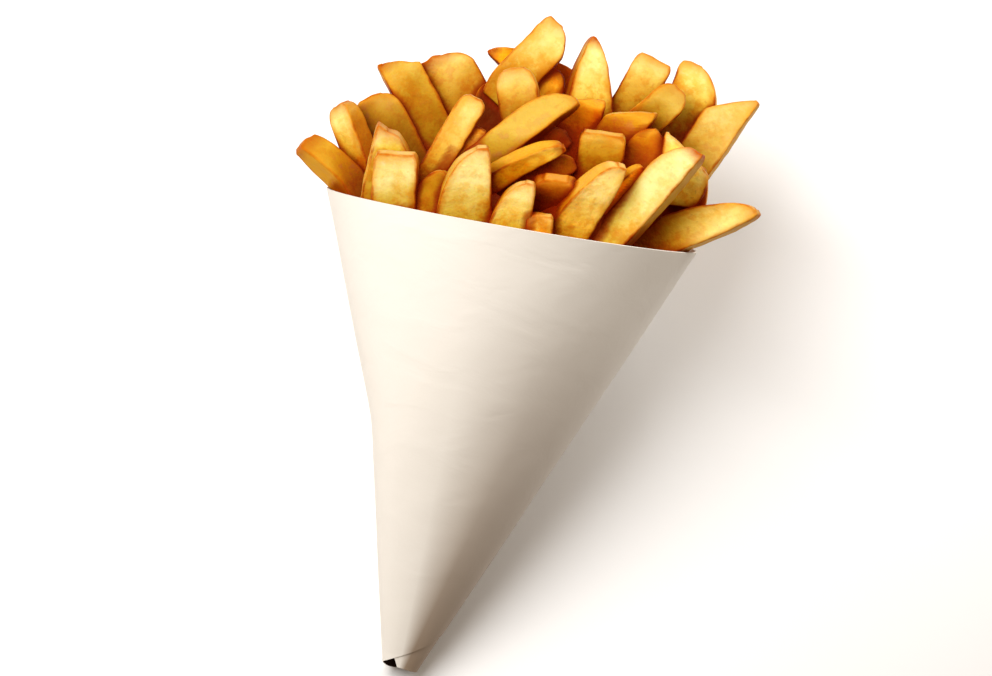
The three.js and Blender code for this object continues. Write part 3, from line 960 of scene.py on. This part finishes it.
class MESH_OT_fry_bed(bpy.types.Operator):
    """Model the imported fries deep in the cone, which close the gaps between the others"""

    bl_idname = "mesh.fry_bed"
    bl_label = "Fry Bed"
    bl_options = {"REGISTER", "UNDO"}

    # Its top rounds off to a share of its width.
    FOOT = 14 * MM
    TOP = 163 * MM
    INSET = 4 * MM
    SIDES = 64
    RINGS = 40
    ROUNDING = 5
    TOP_SHARE = 0.2
    # It stands for fries hidden deep in the heap, so it is nearly all hidden and takes the painted
    # crevice shade.
    LIKE_FRY = {
        "edge_distance": 5 * MM, "below_tip": 40 * MM, "side_on": 0, "end_on": 0, "browned": 0,
        "touching": 0, "nook": 0.9,
    }

    def execute(self, context):
        scene = context.scene
        cone = Cone(scene.cone_paper)
        deselect()
        bpy.ops.mesh.primitive_cylinder_add(
            vertices=self.SIDES, radius=1, depth=1, end_fill_type="TRIFAN",
        )
        bed = context.object
        bed.name = "fry_bed"
        bpy.ops.object.mode_set(mode="EDIT")
        cut_along(2, np.linspace(-0.5, 0.5, self.RINGS)[1:-1])
        bpy.ops.object.mode_set(mode="OBJECT")
        x, y, z = points_of(bed.data).T
        share_up = z + 0.5
        round_top = np.sqrt(np.clip((1 - share_up) * self.ROUNDING, 0, 1))
        round_top = np.where(share_up < 1, round_top, self.TOP_SHARE)
        height = self.FOOT + (self.TOP - self.FOOT) * share_up
        radius = (cone.radius(height) - self.INSET) * round_top
        radius = np.where(np.hypot(x, y) < 0.5, 0, radius)
        angle = np.arctan2(y, x)
        points = np.column_stack((radius * np.cos(angle), height, -radius * np.sin(angle)))
        points = bent_into_paper(points, np.arange(len(points)), cone)
        set_points(bed.data, cone.laid_down(points))
        keep(bed.data, "own_place", points)
        keep(bed.data, "flesh", scene.cone_fries.brown[:])
        for name, value in self.LIKE_FRY.items():
            keep(bed.data, name, value)
        bpy.ops.object.shade_smooth()
        finish_fries(bed, scene.cone_fries)
        return {"FINISHED"}


class MESH_OT_fry_nooks(bpy.types.Operator):
    """Work out how deep between the others each spot of the fries lies, and how closely others press on
    it, for the painted shade
    """

    bl_idname = "mesh.fry_nooks"
    bl_label = "Fry Nooks"
    bl_options = {"REGISTER", "UNDO"}

    # A spot is hidden where anything in its cell stands out further than the slack, and touched
    # where enough spots of other fries are about as near as the touch.
    DIRECTIONS = 72
    CELL = 1.3 * MM
    SLACK = 2.4 * MM
    FROM_BELOW = 0.4
    SOFTENING = 3
    TOUCH = 1.05 * MM
    TOUCH_COUNT = 5
    TOUCH_FADE = 0.6
    TOUCH_SOFTENING = 2

    def touching(self, spots, owners):
        """How closely another fry presses on each spot, from 0 to 1."""
        grid = np.floor(spots / self.TOUCH).astype(np.int64)
        grid -= grid.min(axis=0) - 1
        span = grid.max(axis=0) + 2
        cell = (grid[:, 0] * span[1] + grid[:, 1]) * span[2] + grid[:, 2]
        cells = span.prod()
        everyone = np.bincount(cell, minlength=cells)
        own_cells, own_counts = np.unique(owners * cells + cell, return_counts=True)
        others = np.zeros(len(spots))
        for shift in np.ndindex(3, 3, 3):
            away = np.array(shift) - 1
            near = cell + (away[0] * span[1] + away[1]) * span[2] + away[2]
            mine = owners * cells + near
            found = np.minimum(np.searchsorted(own_cells, mine), len(own_cells) - 1)
            own = np.where(own_cells[found] == mine, own_counts[found], 0)
            others += (everyone[near] - own) * self.TOUCH_FADE ** np.abs(away).sum()
        return np.clip(others / self.TOUCH_COUNT, 0, 1)

    def execute(self, context):
        meshes = [bpy.data.objects[name].data for name in FRY_PIECES]
        spots = np.vstack([points_of(mesh) for mesh in meshes])
        facing = np.vstack([normals_of(mesh) for mesh in meshes])
        owners = [read(mesh.attributes["fry_number"].data, "value", 1) for mesh in meshes]
        owners = np.vstack(owners)[:, 0].astype(np.int64)
        pressed = self.touching(spots, owners)
        around = np.vstack((spots, points_of(bpy.data.objects["paper_sheet"].data)))
        hidden = np.zeros(len(spots))
        total = np.full(len(spots), TINY)
        for step in range(self.DIRECTIONS):
            high = 1 - (2 * step + 1) / self.DIRECTIONS
            turn = step * FILL_TURN
            flat = math.sqrt(1 - high * high)
            towards = np.array((flat * math.cos(turn), flat * math.sin(turn), high))
            aside = np.array((-math.sin(turn), math.cos(turn), 0))
            grid = np.floor(around @ np.stack((aside, np.cross(towards, aside)), 1) / self.CELL)
            grid = (grid - grid.min(axis=0)).astype(int)
            cell = grid[:, 0] * (grid[:, 1].max() + 1) + grid[:, 1]
            along = around @ towards
            nearest = np.full(cell.max() + 1, -np.inf)
            np.maximum.at(nearest, cell, along)
            blocked = nearest[cell[:len(spots)]] > along[:len(spots)] + self.SLACK
            weight = np.maximum(facing @ towards, 0) * (1 if high > 0 else self.FROM_BELOW)
            hidden += weight * blocked
            total += weight
        for name, found, rounds in (
            ("nook", hidden / total, self.SOFTENING),
            ("touching", pressed, self.TOUCH_SOFTENING),
        ):
            start = 0
            for mesh in meshes:
                end = start + len(mesh.vertices)
                kept = rounded_off(mesh, found[start:end, None], np.ones(end - start), rounds)
                mesh.attributes[name].data.foreach_set("value", kept.ravel())
                mesh.update()
                start = end
        return {"FINISHED"}


class MESH_OT_paper_cone(bpy.types.Operator):
    """Roll the sheet of paper into its cone"""

    bl_idname = "mesh.paper_cone"
    bl_label = "Paper Cone"
    bl_options = {"REGISTER", "UNDO"}

    # The waves are measured in radii round the cone, and grow to full height with its radius.
    # Inward faces below this height get the painted shade of the tip's hollow, fading upwards.
    SOAKED = 90 * MM
    WAVE_HEIGHT = 60 * MM
    WAVE = 0.8
    SMALL_WAVE = 0.3
    FULL_WAVES = 30 * MM
    SMOOTH_ANGLE = 40

    @staticmethod
    def lower_edge(turned):
        """Height of the sheet's lower edge at angles counted from its outer end inwards."""
        at_back = EDGE_AT_RIGHT - EDGE_RISE * turned
        slanting = EDGE_AT_RIGHT * np.clip(1 - turned / LEFT, 0, 1) ** EDGE_BEND
        behind = np.clip((turned - LEFT) / (OUTER_END + 360 - LEFT), 0, 1)
        slanting -= BACK_DROP * np.sin(behind * math.pi)
        flap = -FLAP_DROP * np.maximum(0, np.cos(np.radians(turned)))
        outer = np.where(turned < 0, at_back, slanting)
        return np.where(turned < OUTER_END + 360, outer, flap)

    def execute(self, context):
        paper = context.scene.cone_paper
        cone = Cone(paper)
        deselect()
        bpy.ops.mesh.primitive_grid_add(
            x_subdivisions=SHEET_STEPS, y_subdivisions=SHEET_ROWS, size=1,
        )
        sheet = context.object
        sheet.name = "paper_sheet"
        u, v, _ = (points_of(sheet.data) + (0.5, 0.5, 0)).T
        inner_end = INNER_END + INNER_SLANT * np.clip(v / INNER_SLANT_SHARE, 0, 1)
        turned = OUTER_END + (inner_end - OUTER_END) * u
        angle = np.radians(turned)
        low = self.lower_edge(turned)
        high = cone.rim_height(paper.rim_radius * np.cos(angle))
        height = low + (high - low) * v
        wound = paper.winding * (turned - OUTER_END) / 360
        true_radius = cone.radius(height)
        around = np.column_stack((np.cos(angle), height / self.WAVE_HEIGHT, np.sin(angle)))
        waves = noise_at(around, self.WAVE, 3)
        waves += self.SMALL_WAVE * noise_at(around, self.SMALL_WAVE, 9)
        stray = paper.waviness * waves * np.minimum(true_radius / self.FULL_WAVES, 1)
        radius = true_radius - wound - cone.dent(turned, height) + stray
        flat = -cone.back_depth(height)
        points = np.column_stack((
            radius * np.cos(angle), height, np.maximum(radius * np.sin(angle), flat),
        ))
        set_points(sheet.data, cone.laid_down(points))
        thicken = sheet.modifiers.new("Thicken", "SOLIDIFY")
        thicken.thickness = paper.thickness
        thicken.offset = -1
        bpy.ops.object.modifier_apply(modifier=thicken.name)
        points = points_of(sheet.data) @ cone.tipping + cone.rest
        normals = normals_of(sheet.data) @ cone.tipping
        facing_in = (points * normals)[:, [0, 2]].sum(axis=1) < 0
        # Painted shade inside the tip's hollow: inward faces, darker towards the tip.
        keep(sheet.data, "soaked", facing_in * np.clip(1 - points[:, 1] / self.SOAKED, 0, 1) ** 0.5)
        bpy.ops.object.shade_smooth_by_angle(angle=math.radians(self.SMOOTH_ANGLE))
        finish_piece(sheet, paper_finish(paper), "paper_cone")
        return {"FINISHED"}


class SCENE_OT_fries_stage(bpy.types.Operator):
    """Set up the pale floor, the soft lights and the camera"""

    bl_idname = "scene.fries_stage"
    bl_label = "Floor, Lights and Camera"
    bl_options = {"REGISTER", "UNDO"}

    FLOOR_SIZE = 6
    FLOOR_DROP = 0.7 * MM
    # Each light's direction, distance, size and setting on the panel.
    LIGHTS = {
        "key_light": ((-0.40, 0.38, 0.86), 0.62, 0.48, "key_power"),
        "side_light": ((0.70, 0.60, 0.40), 0.30, 0.22, "side_power"),
    }
    VIEW_END = 20

    def execute(self, context):
        scene = context.scene
        stage = scene.cone_stage
        cone = Cone(scene.cone_paper)
        axes = Matrix((cone.tipping @ cone.picture).tolist())
        centre = Vector(cone.laid_down(cone.from_picture(np.zeros((1, 3))))[0])

        deselect()
        bpy.ops.mesh.primitive_plane_add(size=self.FLOOR_SIZE, location=(0, 0, -self.FLOOR_DROP))
        floor = context.object
        floor.name = "floor"
        finish = Finish("pale_floor")
        floor.data.materials.append(finish.surface({
            "Base Color": opaque(stage.floor), "Roughness": 0.9, "Specular IOR Level": 0.1,
        }))

        for name, (side, distance, size, power) in self.LIGHTS.items():
            towards = (axes @ Vector(side)).normalized()
            bpy.ops.object.light_add(type="AREA", location=centre + towards * distance)
            light = context.object
            light.name = name
            light.rotation_euler = towards.to_track_quat("Z", "Y").to_euler()
            light.data.size = size
            light.data.energy = getattr(stage, power)
            light.data.color = stage.key_tint

        world = bpy.data.worlds.new("soft_surroundings")
        world.use_nodes = True
        surroundings = world.node_tree.nodes["Background"]
        surroundings.inputs["Color"].default_value = opaque(stage.fill_tint)
        surroundings.inputs["Strength"].default_value = stage.fill_power
        scene.world = world

        eye = centre + axes @ Vector(EYE)
        bpy.ops.object.camera_add(location=eye, rotation=axes.to_euler())
        camera = context.object
        camera.name = "picture_camera"
        camera.data.sensor_width = SENSOR
        camera.data.lens = SENSOR * EYE[2] / VIEW_WIDTH
        camera.data.clip_end = self.VIEW_END
        scene.camera = camera
        scene.view_settings.view_transform = "Standard"
        return {"FINISHED"}


class VIEW3D_PT_paper_cone_of_fries(bpy.types.Panel):
    """Lists the pieces, with their sizes and colours"""

    bl_label = "Paper Cone of Fries"
    bl_space_type = "VIEW_3D"
    bl_region_type = "UI"
    bl_category = "Fries"

    def draw(self, context):
        scene = context.scene
        for settings in (scene.cone_paper, scene.cone_fries, scene.cone_stage):
            column = self.layout.column(align=True)
            for name in settings.__annotations__:
                column.prop(settings, name)
        column = self.layout.column(align=True)
        for operator in OPERATORS:
            column.operator(operator.bl_idname)


FRY_PIECES = ("left_fries", "front_fries", "middle_fries", "back_fries", "filling_fries")
SETTINGS = {
    "cone_paper": PaperSettings,
    "cone_fries": FrySettings,
    "cone_stage": StageSettings,
}
OPERATORS = (
    MESH_OT_paper_cone,
    MESH_OT_fry_bed,
    MESH_OT_left_fries,
    MESH_OT_front_fries,
    MESH_OT_middle_fries,
    MESH_OT_back_fries,
    MESH_OT_filling_fries,
    MESH_OT_fry_nooks,
    SCENE_OT_fries_stage,
)


def register():
    for name, settings in SETTINGS.items():
        bpy.utils.register_class(settings)
        setattr(bpy.types.Scene, name, bpy.props.PointerProperty(type=settings))
    for operator in OPERATORS:
        bpy.utils.register_class(operator)
    bpy.utils.register_class(VIEW3D_PT_paper_cone_of_fries)


def unregister():
    bpy.utils.unregister_class(VIEW3D_PT_paper_cone_of_fries)
    for operator in reversed(OPERATORS):
        bpy.utils.unregister_class(operator)
    for name, settings in SETTINGS.items():
        delattr(bpy.types.Scene, name)
        bpy.utils.unregister_class(settings)


def main():
    register()
    bpy.ops.mesh.paper_cone()
    bpy.ops.mesh.fry_bed()
    bpy.ops.mesh.left_fries()
    bpy.ops.mesh.front_fries()
    bpy.ops.mesh.middle_fries()
    bpy.ops.mesh.back_fries()
    bpy.ops.mesh.filling_fries()
    bpy.ops.mesh.fry_nooks()
    bpy.ops.scene.fries_stage()


if __name__ == "__main__":
    main()
